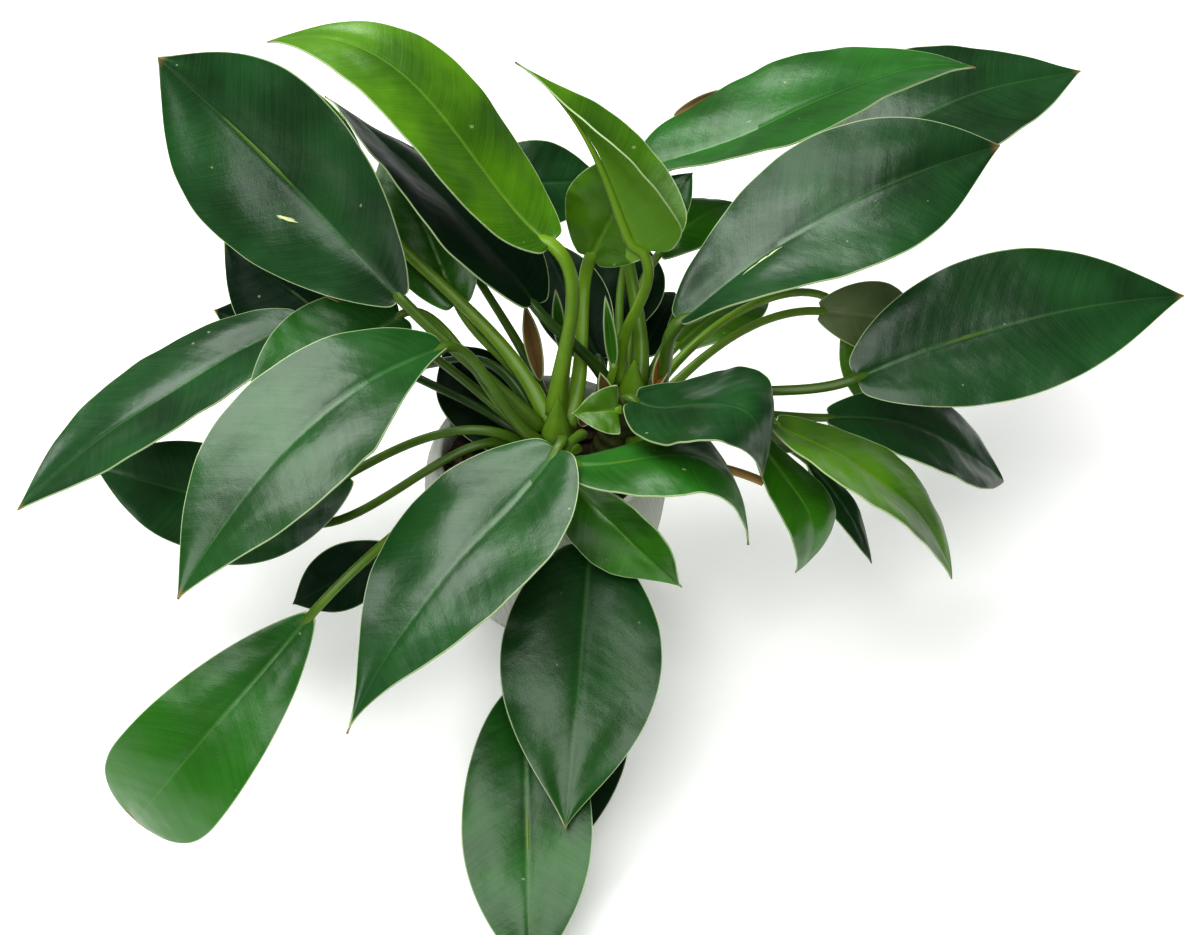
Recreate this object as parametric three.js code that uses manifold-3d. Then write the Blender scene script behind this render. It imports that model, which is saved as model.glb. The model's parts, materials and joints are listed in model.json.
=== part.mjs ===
// A potted imperial green philodendron: two short crowns of glossy leaves in a fluted pot.
// Millimetres, +Z up, +Y to the back. The origin is the middle of the pot's flat underside.
import * as THREE from "three";
import Module from "manifold-3d";

const wasm = await Module();
wasm.setup();

// Driving dimensions
const POT_HEIGHT = 125;
const POT_BELLY_RADIUS = 72.5;
const POT_BELLY_HEIGHT = 92;
const POT_MOUTH_RADIUS = 65.5;
const POT_FOOT_RADIUS = 42;
const POT_WALL = 5;
const POT_FLOOR = 6;
const POT_FLUTES = 96;
const POT_FLUTE_DEPTH = 0.7;
const SOIL_TOP = 108;
const BLADE_THICKNESS = 0.9;
const PETIOLE_RADIUS = 2.6;
const PETIOLE_FOOT_RADIUS = 3.6;
const FIT_GAP = 0.3;
const STEM_SUNK = 30;
const STEM_SUNK_TAPER = 0.9;
const STEM_TOP_SHARE = 1.06;
const STEM_TOP_TAPER = 0.5;

// Each short stem runs from its foot in the soil to its crown
const STEMS = {
  left: { foot: [8, 2, SOIL_TOP], crown: [8, -8, 150], footRadius: 13, crownRadius: 9 },
  right: { foot: [36, 8, SOIL_TOP], crown: [52, 16, 158], footRadius: 12, crownRadius: 9 },
};

// Leaf colours by age
const LEAF_COLOURS = {
  old: 0x24452f,
  mature: 0x2f5a33,
  fresh: 0x4f8f24,
  young: 0x6aa520,
  dull: 0x4a5240,
  dry: 0x7a5a3a,
};

// One row a leaf, from the lowest to the youngest on each stem. base is where blade and petiole
// meet and tip the far end of the blade. turn and seat place the petiole's foot round and up the
// stem, steep and leave how it rises from there and how far. A blade with no lean faces forward and
// up; lean turns it about its chord, to its right when it is above 0, and twist adds to that towards
// the tip. fold lifts both halves from the midrib, and unfold is the share of it lost at the tip.
// arch (rise of the midrib over its chord, highest further out with a larger peak), sway (its
// sideways bow), width, lobe and curl are in millimetres, and angles are in degrees. tuck is the
// share by which the left half is narrower at the base, and drip the share by which the tip is drawn
// out. A row with no width is a bare old petiole.
const LEAVES = [
  { name: "leaf_left_front_lowest", stem: "left", turn: 251, seat: 17, steep: 1.5, leave: 0.5,
    base: [-9, -142, 75], tip: [-4, -292, 12], width: 72, arch: 10, fullest: 0.5, hue: "mature" },
  { name: "leaf_left_front_hidden", stem: "left", turn: 275, seat: 14, steep: 1.6, leave: 0.79,
    base: [27, -108, 78], tip: [12, -222, 22], width: 56, arch: 8, lean: -10, hue: "mature" },
  { name: "leaf_left_front_hanging", stem: "left", turn: 291, seat: 26, steep: 1.6, leave: 0.52,
    base: [27, -80, 124], tip: [14, -226, 60], width: 90, arch: 9, lean: -5, fold: 8, fullest: 0.42,
    shoulder: 0.6, point: 1.15, hue: "old" },
  { name: "leaf_left_low_front_corner", stem: "left", turn: 221, seat: 17, leave: 0.28,
    base: [-125, -140, 135], tip: [-229, -190, 16], width: 72, arch: 26, peak: 1.8, fullest: 0.72,
    shoulder: 0.8, point: 0.4, hue: "mature" },
  { name: "leaf_left_low_side_a", stem: "left", turn: 182, seat: 11, steep: 1.8, leave: 0.45,
    base: [-141, -34, 98], tip: [-277, 25, 85], width: 64, arch: 10, hue: "old" },
  { name: "leaf_left_low_side_b", stem: "left", turn: 196, seat: 21, steep: 1.6, leave: 0.55,
    base: [-116, -22, 125], tip: [-206, -51, 82], width: 46, arch: 10, hue: "old" },
  { name: "leaf_left_low_small", stem: "left", turn: 210, seat: 8, steep: 1.8, leave: 0.65,
    base: [-89, -64, 104], tip: [-147, -75, 72], width: 38, arch: 6, hue: "old" },
  { name: "leaf_left_back_dark_a", stem: "left", turn: 163, seat: 18,
    base: [-108, 70, 142], tip: [-201, 136, 174], width: 78, arch: 8, hue: "old" },
  { name: "leaf_left_back_dark_b", stem: "left", turn: 135, seat: 21, steep: 2.2, leave: 0.7,
    base: [-104, 83, 118], tip: [-210, 117, 133], width: 60, arch: 8, hue: "old" },
  { name: "leaf_left_far_side", stem: "left", turn: 168, seat: 26,
    base: [-148, 71, 165], tip: [-303, -50, 125], width: 80, arch: 10, lean: 45, fold: 12,
    hue: "old" },
  { name: "leaf_left_side_small", stem: "left", turn: 186, seat: 31,
    base: [-86, 58, 180], tip: [-175, -7, 158], width: 70, arch: 6, hue: "mature" },
  { name: "leaf_left_crown_shaded", stem: "left", turn: 148, seat: 5,
    base: [-17, 3, 119], tip: [-62, 84, 134], width: 50, arch: 6, lean: 6, fold: 16, fullest: 0.48,
    shoulder: 0.6, point: 1, lobe: 2, hue: "old" },
  { name: "leaf_left_big_side", stem: "left", turn: 206, seat: 37,
    base: [-55, -4, 210], tip: [-189, -158, 170], width: 92, arch: 22, sway: 7, lean: 30, fold: 14,
    tuck: 0.75, hue: "old" },
  { name: "leaf_left_big_front", stem: "left", turn: 256, seat: 34,
    base: [9, -61, 185], tip: [-101, -204, 115], width: 96, arch: 14, peak: 1.8, lean: 33, fold: 12,
    fullest: 0.36, point: 1.6, hue: "old" },
  { name: "leaf_left_front_centre", stem: "left", turn: 340, seat: 39,
    base: [19, -66, 180], tip: [116, -91, 140], width: 70, arch: 35, peak: 1.5, lean: -62, fold: -4,
    fullest: 0.38, point: 1.2, hue: "mature" },
  { name: "leaf_left_front_under", stem: "left", turn: 317, seat: 31,
    base: [13, -64, 167], tip: [79, -102, 117], width: 55, arch: 12, lean: 40, fold: 20, tuck: 0.45,
    curl: 0, sway: -9, fullest: 0.42, point: 1.3, hue: "fresh" },
  { name: "leaf_left_underside", stem: "left", turn: 112, seat: 29,
    base: [-53, 74, 176], tip: [-97, 166, 231], width: 62, arch: 6, hue: "fresh" },
  { name: "leaf_left_back_behind", stem: "left", turn: 118, seat: 36,
    base: [-108, 99, 233], tip: [-161, 142, 298], width: 40, arch: 6, hue: "fresh" },
  { name: "leaf_left_back_top", stem: "left", turn: 100, seat: 22,
    base: [-47, 153, 200], tip: [37, 177, 188], width: 55, arch: 8, hue: "old" },
  { name: "leaf_left_upper_big", stem: "left", turn: 158, seat: 39,
    base: [-82, 33, 215], tip: [-220, 127, 315], width: 106, arch: 8, sway: 5, lean: -20, fold: 14,
    fullest: 0.55, shoulder: 0.75, point: 0.95, hue: "old" },
  { name: "leaf_left_back_young", stem: "left", turn: 60, seat: 36, steep: 0.8,
    base: [28, 71, 215], tip: [61, 73, 290], width: 60, arch: 4, hue: "young" },
  { name: "leaf_left_top_bright", stem: "left", turn: 90, seat: 41, steep: 2.5,
    base: [5, 33, 255], tip: [-155, 120, 330], width: 76, arch: 38, peak: 1.8, lean: 43, fold: 11,
    shoulder: 0.5, hue: "young" },
  { name: "leaf_right_low_dark", stem: "right", turn: 356, seat: 20, steep: 1.4,
    base: [170, 16, 136], tip: [278, 8, 90], width: 70, arch: 15, lean: -50, fullest: 0.62,
    point: 0.8, hue: "old" },
  { name: "leaf_right_low_pair_small", stem: "right", turn: 324, seat: 16, steep: 2, leave: 0.5,
    base: [160, 7, 106], tip: [197, -32, 60], width: 20, arch: 6, lean: -40, hue: "old" },
  { name: "leaf_right_fading", stem: "right", turn: 37, seat: 19, steep: 1.8, leave: 0.5,
    base: [190, 108, 128], tip: [207, 76, 80], width: 26, arch: 4, hue: "young" },
  { name: "leaf_right_dull", stem: "right", turn: 18, seat: 26, steep: 1.3,
    base: [170, 94, 152], tip: [236, 112, 126], width: 44, arch: 10, hue: "dull" },
  { name: "leaf_right_back_far", stem: "right", turn: 50, seat: 31, steep: 1.3,
    base: [163, 184, 180], tip: [345, 259, 215], width: 106, arch: 18, lean: -36, fold: 12,
    hue: "old" },
  { name: "leaf_right_arching", stem: "right", turn: 300, seat: 23,
    base: [126, -25, 156], tip: [146, -72, 96], width: 46, arch: 22, peak: 1.8, lean: -45,
    fullest: 0.58, hue: "fresh" },
  { name: "leaf_right_bright_side", stem: "right", turn: 334, seat: 29, steep: 1.3,
    base: [134, -20, 165], tip: [234, -85, 105], width: 76, arch: 18, peak: 1.5, lean: -62,
    hue: "young" },
  { name: "leaf_right_side_big", stem: "right", turn: 0, seat: 33,
    base: [181, 3, 180], tip: [377, 58, 195], width: 88, arch: 8, sway: -7, lean: -12, fold: 8,
    hue: "old" },
  { name: "leaf_right_under_bright", stem: "right", turn: 63, seat: 17,
    base: [80, 67, 148], tip: [139, 128, 138], width: 50, arch: 8, lean: -40, hue: "young" },
  { name: "leaf_right_back_a", stem: "right", turn: 117, seat: 14, steep: 0.6, leave: 0.2,
    base: [39, 70, 156], tip: [57, 135, 176], width: 50, arch: 8, hue: "old" },
  { name: "leaf_right_back_b", stem: "right", turn: 86, seat: 14,
    base: [60, 72, 140], tip: [80, 126, 140], width: 36, arch: 6, hue: "old" },
  { name: "leaf_right_back_light", stem: "right", turn: 82, seat: 27,
    base: [70, 105, 190], tip: [117, 150, 192], width: 40, arch: 8, lean: -30, hue: "fresh" },
  { name: "leaf_right_crown_heart", stem: "right", turn: 285, seat: 40,
    base: [53, -27, 190], tip: [123, -66, 168], width: 88, arch: 34, peak: 2.2, lean: -50, fold: 6,
    fullest: 0.5, hue: "old" },
  { name: "leaf_right_shaded_centre", stem: "right", turn: 124, seat: 26,
    base: [32, 54, 150], tip: [-4, 118, 192], width: 46, arch: 4, hue: "old" },
  { name: "leaf_right_back_small", stem: "right", turn: 98, seat: 37,
    base: [57, 103, 205], tip: [88, 118, 240], width: 30, arch: 4, hue: "mature" },
  { name: "leaf_right_back_long", stem: "right", turn: 70, seat: 44,
    base: [63, 132, 235], tip: [259, 175, 275], width: 100, arch: 12, peak: 3, lean: -55, fold: 18,
    shoulder: 0.4, hue: "mature" },
  { name: "leaf_right_upper_big", stem: "right", turn: 20, seat: 42,
    base: [79, 13, 215], tip: [263, 97, 275], width: 92, arch: 14, lean: -58, twist: 68, fold: 18,
    fullest: 0.52, point: 0.95, hue: "old" },
  { name: "leaf_right_behind_dark", stem: "right", turn: 138, seat: 42, steep: 1.5,
    base: [-5, 27, 215], tip: [-132, 160, 265], width: 88, arch: 9, lean: 50, twist: 30, fold: 10,
    hue: "old" },
  { name: "leaf_right_folded_young", stem: "right", turn: 116, seat: 47,
    base: [57, 32, 250], tip: [-13, 71, 350], width: 64, arch: 12, peak: 1.5, lean: 64, fold: 85,
    unfold: 1, fullest: 0.14, point: 1.6, lobe: 10, curl: 0, hue: "young" },
  { name: "bract_right_crown", stem: "right", turn: 222, seat: 43,
    base: [43, -6, 163], tip: [16, -7, 161], width: 30, arch: 3, fold: 20, fullest: 0.05,
    point: 1.5, lobe: 0, curl: 0, drip: 0, hue: "young" },
  { name: "sheath_right_bright", stem: "right", turn: 180, seat: 46,
    base: [41, 22, 172], tip: [36, 38, 212], width: 9, fold: 45, fullest: 0.3, lobe: 1, curl: 0,
    wave: 0, hue: "fresh" },
  { name: "old_stalk_right", stem: "right", turn: 288, seat: 13, steep: 1.5,
    base: [128, -31, 129], tip: [140, -34, 124], hue: "dry" },
];

// A vector from a plain list
function vector(list) {
  return new THREE.Vector3(...list);
}

// The left half has its full width again at this share of the length
const TUCK_END = 0.42;

// The way a blade with no lean faces: forward and up
const OUTLOOK = new THREE.Vector3(0, -1, 1).normalize();

// Small steps along the midrib and over the blade, to find which way they run
const MIDRIB_STEP = 0.001;
const BLADE_STEP = 0.01;

// A blade is never narrower than twice this, in millimetres
const NARROWEST_HALF = 1;

// The tip is drawn out: beyond its middle a blade narrows by up to this share more
const DRIP_TIP = 0.3;

// The edge waves this many times from base to tip, and the two halves are out of step
const EDGE_WAVES = 1.6;
const RIGHT_WAVE_START = 0.1;
const LEFT_WAVE_START = 0.45;

// The midrib's frame and the blade's middle surface, for one row of the table
function leafForm(row) {
  const { arch = 0, sway = 0, peak = 1, lean = 0, twist = 0, fold = 10, unfold = 0.5 } = row;
  const { fullest = 0.44, shoulder = 0.6, point = 1, tuck = 0 } = row;
  const { lobe = 6, curl = 3, wave = 1.2, drip = DRIP_TIP } = row;
  const base = vector(row.base);
  const tip = vector(row.tip);
  const length = base.distanceTo(tip);
  const chord = tip.clone().sub(base).normalize();
  const face = OUTLOOK.clone().addScaledVector(chord, -OUTLOOK.dot(chord)).normalize();
  face.applyAxisAngle(chord, THREE.MathUtils.degToRad(lean));
  const right = new THREE.Vector3().crossVectors(chord, face);
  const bowScale = (peak + 1) ** (peak + 1) / peak ** peak;

  // Place on the midrib, u from 0 at the base to 1 at the tip
  function midrib(u) {
    const bow = bowScale * Math.sign(u) * Math.abs(u) ** peak * (1 - u);
    return base.clone()
      .addScaledVector(chord, length * u)
      .addScaledVector(face, arch * bow)
      .addScaledVector(right, sway * 4 * u * (1 - u));
  }

  function frame(u) {
    const along = midrib(u + MIDRIB_STEP).sub(midrib(u - MIDRIB_STEP)).normalize();
    const up = face.clone().addScaledVector(along, -face.dot(along)).normalize();
    up.applyAxisAngle(along, THREE.MathUtils.degToRad(twist * u));
    return { along, up, side: new THREE.Vector3().crossVectors(along, up) };
  }

  // Half width of the blade: round at the base, drawn out to a point at the tip
  function halfWidth(u) {
    const toBase = 1 - Math.min(u / fullest, 1);
    const toTip = Math.max((u - fullest) / (1 - fullest), 0);
    const shape = (1 - toBase ** 2) ** shoulder * Math.max(1 - toTip ** 2, 0) ** point;
    const drawnOut = 1 - drip * toTip ** 5;
    return Math.max((row.width / 2) * shape * drawnOut, NARROWEST_HALF);
  }

  // A point of the middle surface, s from -1 at the left edge to 1 at the right
  function surface(u, s) {
    const { along, up, side } = frame(u);
    const half = halfWidth(u) * (s < 0 ? 1 - tuck * Math.max(1 - u / TUCK_END, 0) : 1);
    const slope = THREE.MathUtils.degToRad(fold * (1 - unfold * u));
    const reach = half * s;
    const drop = curl * s * s * (half / (row.width / 2));
    const waveStart = s > 0 ? RIGHT_WAVE_START : LEFT_WAVE_START;
    const ripple = wave * s * s * Math.sin(2 * Math.PI * (EDGE_WAVES * u + waveStart));
    const back = lobe * Math.abs(s) ** 1.4 * (1 - u) ** 8;
    return midrib(u)
      .addScaledVector(side, reach * Math.cos(slope))
      .addScaledVector(up, Math.abs(reach) * Math.sin(slope) - drop + ripple * (half / (row.width / 2)))
      .addScaledVector(along, -back);
  }

  return { base, midrib, frame, surface };
}

// Where on its stem a petiole starts and which way it leaves. The inner edge of its foot is the
// nearest to the bark, a little higher than its middle, and stays just clear there.
function petioleFoot(row) {
  const { foot, crown, footRadius, crownRadius } = STEMS[row.stem];
  const height = crown[2] - foot[2];
  const turn = THREE.MathUtils.degToRad(row.turn);
  const out = new THREE.Vector3(Math.cos(turn), Math.sin(turn), 0);
  const leave = out.clone().add(new THREE.Vector3(0, 0, row.steep ?? 1)).normalize();
  const rise = PETIOLE_FOOT_RADIUS * leave.dot(out);
  const share = (row.seat + rise) / height;
  const radius = THREE.MathUtils.lerp(footRadius, crownRadius, share);
  const start = vector(foot).lerp(vector(crown), share);
  start.z -= rise;
  start.addScaledVector(out, radius + PETIOLE_FOOT_RADIUS * leave.z + FIT_GAP);
  return { start, leave };
}

// Shares of a petiole's span over which it holds its way out of the stem and into the midrib
const LEAVE_SHARE = 0.35;
const ARRIVE_SHARE = 0.3;

// The petiole's centre line: up and out of the stem, then into the line of the midrib
function petiolePath(row, form) {
  const { start, leave } = petioleFoot(row);
  const span = start.distanceTo(form.base);
  const arrive = form.frame(0).along;
  return new THREE.CubicBezierCurve3(
    start,
    start.clone().addScaledVector(leave, span * (row.leave ?? LEAVE_SHARE)),
    form.base.clone().addScaledVector(arrive, -span * ARRIVE_SHARE),
    form.base,
  );
}

// Sections from the petiole's foot to the leaf's tip, each a closed ring of ten points
const RING_HALF = 5;
const PETIOLE_STEPS = 5;
const LARGE_BLADE_STATIONS = [0.02, 0.09, 0.2, 0.34, 0.5, 0.66, 0.8, 0.91, 1];
const SMALL_BLADE_STATIONS = [0.03, 0.16, 0.36, 0.58, 0.8, 1];
const SMALL_BLADE_WIDTH = 60;

// Share of its length over which a petiole narrows from its foot
const PETIOLE_FOOT_SHARE = 0.4;

// The keel of the midrib below the blade: deepest at the base, gone at this share of the length
const KEEL_DEPTH = 1.3 * PETIOLE_RADIUS;
const KEEL_END = 0.8;

function petioleRings(row, form) {
  const path = petiolePath(row, form);
  const rings = [];
  let { side } = form.frame(0);
  for (let i = PETIOLE_STEPS; i >= 0; i -= 1) {
    const t = i / PETIOLE_STEPS;
    const centre = path.getPoint(t);
    const along = path.getTangent(t);
    side = side.clone().addScaledVector(along, -side.dot(along)).normalize();
    const up = new THREE.Vector3().crossVectors(side, along);
    const slimmed = Math.min(t / PETIOLE_FOOT_SHARE, 1);
    const radius = THREE.MathUtils.lerp(PETIOLE_FOOT_RADIUS, PETIOLE_RADIUS, slimmed);
    const ring = [];
    for (let k = 0; k < 2 * RING_HALF; k += 1) {
      const angle = Math.PI * (0.9 - k / RING_HALF);
      ring.push(centre.clone()
        .addScaledVector(side, Math.cos(angle) * radius)
        .addScaledVector(up, Math.sin(angle) * radius));
    }
    rings.unshift(ring);
  }
  return rings;
}

function bladeRing(row, form, u) {
  const top = [];
  const bottom = [];
  for (let k = 0; k < RING_HALF; k += 1) {
    const s = (2 * k) / (RING_HALF - 1) - 1;
    const alongHere = form.surface(u + BLADE_STEP, s).sub(form.surface(u - BLADE_STEP, s));
    const acrossHere = form.surface(u, s + BLADE_STEP).sub(form.surface(u, s - BLADE_STEP));
    const normal = acrossHere.cross(alongHere).normalize();
    const middle = form.surface(u, s);
    const keel = s === 0 ? KEEL_DEPTH * Math.max(1 - u / KEEL_END, 0) : 0;
    top.push(middle.clone().addScaledVector(normal, BLADE_THICKNESS / 2));
    bottom.unshift(middle.addScaledVector(normal, -BLADE_THICKNESS / 2 - keel));
  }
  return [...top, ...bottom];
}

// One closed skin over a row of rings, with flat ends. The second half of a ring has its diagonals
// the other way round, so that a blade is split alike on its top and its underside.
function skin(rings) {
  const count = rings[0].length;
  const positions = rings.flat().flatMap((p) => [p.x, p.y, p.z]);
  const index = [];
  for (let r = 0; r + 1 < rings.length; r += 1) {
    for (let k = 0; k < count; k += 1) {
      const a = r * count + k;
      const b = r * count + ((k + 1) % count);
      if (k < count / 2) index.push(a, b, a + count, b, b + count, a + count);
      else index.push(a, b, b + count, a, b + count, a + count);
    }
  }
  const last = (rings.length - 1) * count;
  for (let k = 1; k + 1 < count; k += 1) {
    index.push(0, k + 1, k);
    index.push(last, last + k, last + k + 1);
  }
  const geometry = new THREE.BufferGeometry();
  geometry.setAttribute("position", new THREE.Float32BufferAttribute(positions, 3));
  geometry.setIndex(index);
  return geometry;
}

function leafGeometry(row) {
  const form = leafForm(row);
  const rings = petioleRings(row, form);
  if (!row.width) return skin(rings);
  const stations = row.width < SMALL_BLADE_WIDTH ? SMALL_BLADE_STATIONS : LARGE_BLADE_STATIONS;
  for (const u of stations) rings.push(bladeRing(row, form, u));
  return skin(rings);
}

function solidOf(geometry) {
  return new wasm.Manifold(new wasm.Mesh({
    numProp: 3,
    vertProperties: new Float32Array(geometry.attributes.position.array),
    triVerts: new Uint32Array(geometry.index.array),
  }));
}

function geometryOf(solid) {
  const mesh = solid.getMesh();
  const geometry = new THREE.BufferGeometry();
  geometry.setAttribute("position", new THREE.BufferAttribute(new Float32Array(mesh.vertProperties), 3));
  geometry.setIndex(new THREE.BufferAttribute(new Uint32Array(mesh.triVerts), 1));
  return geometry;
}

const STEM_SIDES = 14;

// A short thick stem: upright in the soil, then leaning from its foot to its crown
function stemGeometry(stem, extra = 0) {
  const low = vector(stem.foot);
  const high = vector(stem.crown);
  const sections = [
    [low.clone().add(new THREE.Vector3(0, 0, -STEM_SUNK - extra)), stem.footRadius * STEM_SUNK_TAPER],
    [low, stem.footRadius],
    [high, stem.crownRadius],
    [low.clone().lerp(high, STEM_TOP_SHARE), stem.crownRadius * STEM_TOP_TAPER],
  ];
  return skin(sections.map(([centre, radius]) => roundRing(centre, radius + extra, STEM_SIDES)));
}

// The pot: outside flutes between foot and shoulder, plain lip, plain inside
const POT_OUTSIDE = [
  [0, POT_FOOT_RADIUS - 2, 0],
  [2, POT_FOOT_RADIUS, 0],
  [8, POT_FOOT_RADIUS + 4.5, 1],
  [38, POT_FOOT_RADIUS + 18.5, 1],
  [66, POT_FOOT_RADIUS + 26.5, 1],
  [POT_BELLY_HEIGHT, POT_BELLY_RADIUS, 1],
  [108, POT_BELLY_RADIUS - 1.2, 1],
  [118, POT_BELLY_RADIUS - 3.8, 1],
  [POT_HEIGHT - 2, POT_MOUTH_RADIUS + 1, 0],
  [POT_HEIGHT, POT_MOUTH_RADIUS - 1, 0],
];

function insideRadius(height) {
  for (let i = 1; i < POT_OUTSIDE.length; i += 1) {
    const [lowHeight, lowRadius] = POT_OUTSIDE[i - 1];
    const [highHeight, highRadius] = POT_OUTSIDE[i];
    if (height <= highHeight) {
      const share = (height - lowHeight) / (highHeight - lowHeight);
      const outside = THREE.MathUtils.lerp(lowRadius, highRadius, share);
      return Math.min(outside, POT_MOUTH_RADIUS + 3) - POT_WALL;
    }
  }
  return POT_MOUTH_RADIUS - POT_WALL;
}

// A level ring of points
function roundRing(centre, radius, sides) {
  const ring = [];
  for (let k = 0; k < sides; k += 1) {
    const angle = (2 * Math.PI * k) / sides;
    const out = new THREE.Vector3(Math.cos(angle), Math.sin(angle), 0);
    ring.push(centre.clone().addScaledVector(out, radius));
  }
  return ring;
}

function flutedRing(height, radius, fluted) {
  const count = POT_FLUTES * 2;
  const ring = [];
  for (let k = 0; k < count; k += 1) {
    const angle = (2 * Math.PI * k) / count;
    const r = radius - (k % 2) * POT_FLUTE_DEPTH * fluted;
    ring.push(new THREE.Vector3(Math.cos(angle) * r, Math.sin(angle) * r, height));
  }
  return ring;
}

const POT_INSIDE_HEIGHTS = [POT_FLOOR, 40, 80, 112, POT_HEIGHT + 1];
const INSIDE_SIDES = 48;

// What fills the pot's inside, from rows of [height, radius] listed upwards
function filling(rows) {
  const axisPoint = (height) => new THREE.Vector3(0, 0, height);
  return solidOf(skin(rows.map(([height, radius]) => roundRing(axisPoint(height), radius, INSIDE_SIDES))));
}

function potGeometry() {
  const outside = solidOf(skin(POT_OUTSIDE.map((row) => flutedRing(...row))));
  const inside = filling(POT_INSIDE_HEIGHTS.map((height) => [height, insideRadius(height)]));
  return geometryOf(outside.subtract(inside));
}

// The soil fills the pot up to a little under its lip, with a plain hole for each stem
function soilGeometry() {
  const heights = [POT_FLOOR + FIT_GAP, 40, 80, SOIL_TOP];
  let soil = filling(heights.map((height) => [height, insideRadius(height) - FIT_GAP * 2]));
  for (const stem of Object.values(STEMS)) {
    soil = soil.subtract(solidOf(stemGeometry(stem, FIT_GAP)));
  }
  return geometryOf(soil);
}

const plant = new THREE.Group();

function addPiece(name, geometry, colour, roughness) {
  geometry.computeVertexNormals();
  const material = new THREE.MeshStandardMaterial({ color: colour, roughness, metalness: 0 });
  const mesh = new THREE.Mesh(geometry, material);
  mesh.name = name;
  plant.add(mesh);
}

addPiece("pot", potGeometry(), 0xb9bdb4, 0.75);
addPiece("soil", soilGeometry(), 0x3a2a1e, 0.95);
for (const [side, stem] of Object.entries(STEMS)) {
  addPiece(`stem_${side}`, stemGeometry(stem), 0x5a4630, 0.85);
}
for (const row of LEAVES) {
  addPiece(row.name, leafGeometry(row), LEAF_COLOURS[row.hue], 0.35);
}

export default plant;
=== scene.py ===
# %% [markdown]
# # A potted imperial green philodendron
#
# A plain solid model of this house plant already has every leaf, stalk and stem in its right place.
# Here each plain leaf is made again as a fine sheet with veins, a midrib and a thin pale margin, and
# the pot, the soil and the stems get their surfaces. Nothing is moved: a new piece takes the place of
# its plain solid, so the plant keeps its size.

# %% Start from the solids
import json
import math
import random

import bmesh
import bpy
import numpy as np
from mathutils import Matrix, Vector, noise

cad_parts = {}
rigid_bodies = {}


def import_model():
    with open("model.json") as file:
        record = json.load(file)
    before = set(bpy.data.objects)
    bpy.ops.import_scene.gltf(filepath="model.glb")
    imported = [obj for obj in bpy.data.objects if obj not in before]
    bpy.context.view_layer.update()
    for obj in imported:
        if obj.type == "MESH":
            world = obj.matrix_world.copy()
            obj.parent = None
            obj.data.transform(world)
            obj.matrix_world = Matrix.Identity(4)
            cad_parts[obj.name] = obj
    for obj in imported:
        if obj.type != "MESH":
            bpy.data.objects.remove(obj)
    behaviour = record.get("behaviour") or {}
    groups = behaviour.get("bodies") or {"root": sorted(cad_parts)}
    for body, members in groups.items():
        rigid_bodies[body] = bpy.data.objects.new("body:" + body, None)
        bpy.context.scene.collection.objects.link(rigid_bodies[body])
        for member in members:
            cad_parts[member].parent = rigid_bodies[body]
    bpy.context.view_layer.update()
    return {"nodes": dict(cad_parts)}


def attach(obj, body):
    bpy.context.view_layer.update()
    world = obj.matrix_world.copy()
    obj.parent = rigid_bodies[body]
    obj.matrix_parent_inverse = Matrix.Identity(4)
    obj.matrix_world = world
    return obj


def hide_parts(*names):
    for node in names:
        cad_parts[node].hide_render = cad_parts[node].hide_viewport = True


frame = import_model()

MM = 0.001
scene = bpy.context.scene
print("solids:", len(frame["nodes"]))

# %% [markdown]
# ## The camera first
#
# The plant is seen from the front and from well above, at 45 degrees, with a fairly long lens. That
# flattens the leaves into a round fan. The camera comes first, so that every later step can be looked
# at from the angle that counts. It stands in front of the plant and looks at a point inside the crown.

# %% Camera
LOOK_AT = Vector((33, -15, 125)) * MM
CAMERA_DISTANCE = 1250 * MM
CAMERA_RISE = math.radians(45)
SENSOR_WIDTH = 36
FOCAL_LENGTH = 63.75

camera_data = bpy.data.cameras.new("camera")
camera_data.sensor_fit = "HORIZONTAL"
camera_data.sensor_width = SENSOR_WIDTH
camera_data.lens = FOCAL_LENGTH
camera = bpy.data.objects.new("camera", camera_data)
scene.collection.objects.link(camera)
camera.location = LOOK_AT + CAMERA_DISTANCE * Vector((0, -math.cos(CAMERA_RISE), math.sin(CAMERA_RISE)))
camera.rotation_euler = (math.pi / 2 - CAMERA_RISE, 0, 0)
scene.camera = camera
print("camera at", [round(c, 3) for c in camera.location])

# %% [markdown]
# ## Colours and a way to build materials
#
# Colours are picked as the familiar hex values of a screen, but a render engine adds light up, so it
# needs them linear. One function turns them. Another adds a node with its settings and its links, so
# that a material reads as a short list of steps. A noise has a Scale and no size, so a third function
# works the Scale out from the real width of a patch. Many natural surfaces are just two colours in soft
# patches with a low relief, and one function makes all of those.

# %% Colour and node helpers
COLOURS = {"data_type": "RGBA"}
SMOOTH = {"interpolation_type": "SMOOTHSTEP"}


def colour(hex_text):
    """An sRGB hex value as linear red, green, blue and alpha."""
    parts = [int(hex_text[i:i + 2], 16) / 255 for i in (0, 2, 4)]
    linear = [c / 12.92 if c <= 0.04045 else ((c + 0.055) / 1.055) ** 2.4 for c in parts]
    return (*linear, 1.0)


def add_node(tree, kind, settings=None, **inputs):
    """A node with its settings and its inputs, each a value or another node's output."""
    made = tree.nodes.new(kind)
    for name, value in (settings or {}).items():
        setattr(made, name, value)
    for key, value in inputs.items():
        socket = made.inputs[int(key[1:])] if key[1:].isdigit() else made.inputs[key.replace("_", " ")]
        if isinstance(value, bpy.types.NodeSocket):
            tree.links.new(value, socket)
        else:
            socket.default_value = value
    return made


def scale_for(millimetres):
    """The Scale of a noise whose patches are about this wide, in round steps of five."""
    return 5.0 * round(1 / (5 * millimetres * MM))


def new_material(name):
    """A material with one Principled shader, and its node tree."""
    material = bpy.data.materials.new(name)
    material.use_nodes = True
    tree = material.node_tree
    return material, tree, tree.nodes["Principled BSDF"]


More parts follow.
